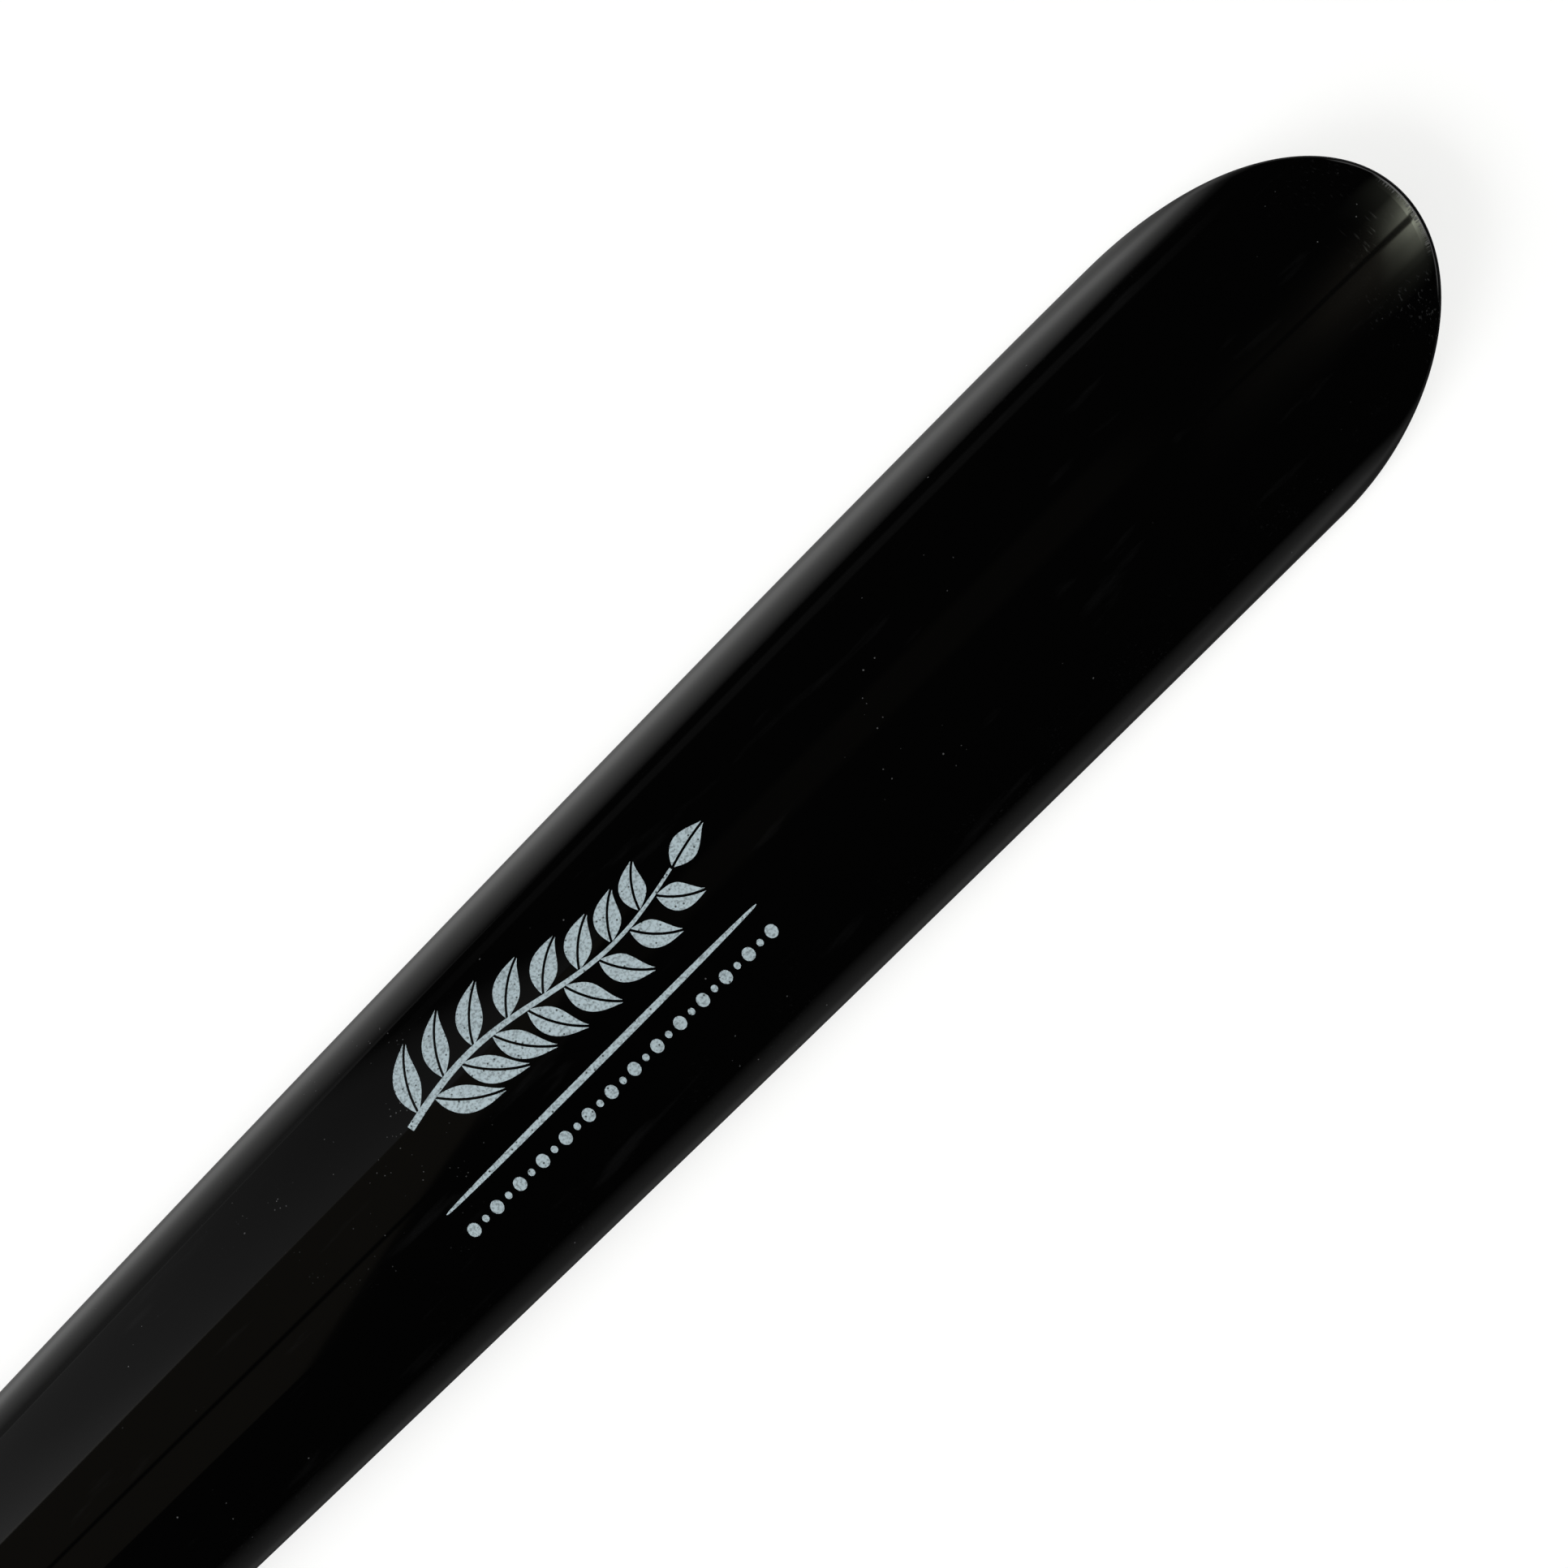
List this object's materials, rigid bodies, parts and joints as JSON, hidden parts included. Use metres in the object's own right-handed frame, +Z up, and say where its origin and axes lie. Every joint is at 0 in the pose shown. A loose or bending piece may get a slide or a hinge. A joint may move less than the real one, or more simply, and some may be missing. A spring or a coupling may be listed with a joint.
{
  "type": "shoe horn",
  "caption": "Long-handled shoe horn: a glossy trough-shaped blade that narrows to a neck, a hollow screwed handle and a hanging ring that swings in its eye.",
  "frame": {"origin": "on the table, under the middle of the whole horn as it lies with its hollow side down", "axes": "+X along the horn towards the blade's tip, +Y across the blade, +Z up from the table"},
  "size_m": [0.5794, 0.0444, 0.0218],
  "materials": {
    "blade_black": "deep gloss black, moulded",
    "handle_black": "satin black, finely textured",
    "screw_steel": "plain zinc-plated steel",
    "ring_steel": "bright nickel-plated wire"
  },
  "bodies": {
    "horn": {"blade": "blade_black", "handle_upper_shell": "handle_black", "handle_lower_shell": "handle_black", "handle_screw_1": "screw_steel", "handle_screw_2": "screw_steel", "handle_screw_3": "screw_steel"},
    "ring": {"hang_ring": "ring_steel"}
  },
  "joints": [
    {"name": "ring_swing", "type": "hinge", "parent": "horn", "child": "ring", "pos_m": [-0.26352, 0, 0.0085], "axis": [0, 1, 0], "range_deg": [-140, 170]}
  ]
}
